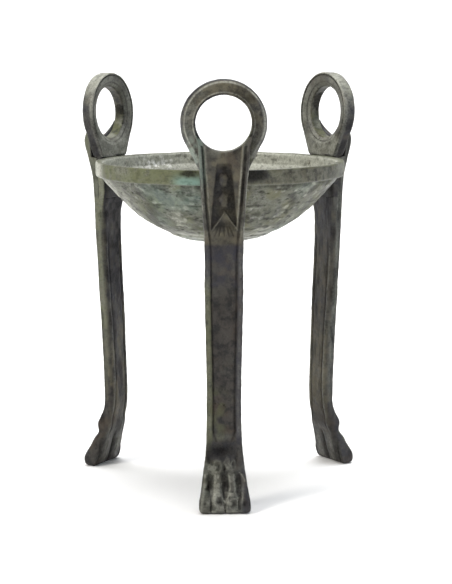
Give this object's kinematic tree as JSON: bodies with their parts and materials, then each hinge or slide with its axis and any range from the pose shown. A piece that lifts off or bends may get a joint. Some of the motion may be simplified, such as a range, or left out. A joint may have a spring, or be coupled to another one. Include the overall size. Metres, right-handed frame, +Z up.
{
  "type": "tripod brazier",
  "caption": "Small cast-bronze tripod brazier: an open shallow bowl for embers, held at its rim by slim lion-paw legs, each topped by an upright ring handle.",
  "frame": {"origin": "on the tripod's vertical axis at ground level, midway between the three paws", "axes": "+Z up along the axis of the bowl and tripod, -Y towards the front leg, +X to the viewer's right; the other two legs stand at 30 and 150 degrees from +X"},
  "size_m": [0.1262, 0.1211, 0.18],
  "materials": {
    "bowl_bronze": "mottled grey-green patina, pitted, dull",
    "leg_bronze": "dark brown patina with paler rubbed ridges, satin",
    "ring_bronze": "grey-brown patina, handled smooth, satin",
    "rivet_bronze": "filed flush, dull patina"
  },
  "bodies": {
    "root": {"leg_front": "leg_bronze", "ring_handle_front": "ring_bronze", "rim_rivet_front_a": "rivet_bronze", "rim_rivet_front_b": "rivet_bronze", "tang_rivet_front": "rivet_bronze", "leg_right": "leg_bronze", "ring_handle_right": "ring_bronze", "rim_rivet_right_a": "rivet_bronze", "rim_rivet_right_b": "rivet_bronze", "tang_rivet_right": "rivet_bronze", "leg_left": "leg_bronze", "ring_handle_left": "ring_bronze", "rim_rivet_left_a": "rivet_bronze", "rim_rivet_left_b": "rivet_bronze", "tang_rivet_left": "rivet_bronze", "bowl": "bowl_bronze"}
  },
  "joints": []
}
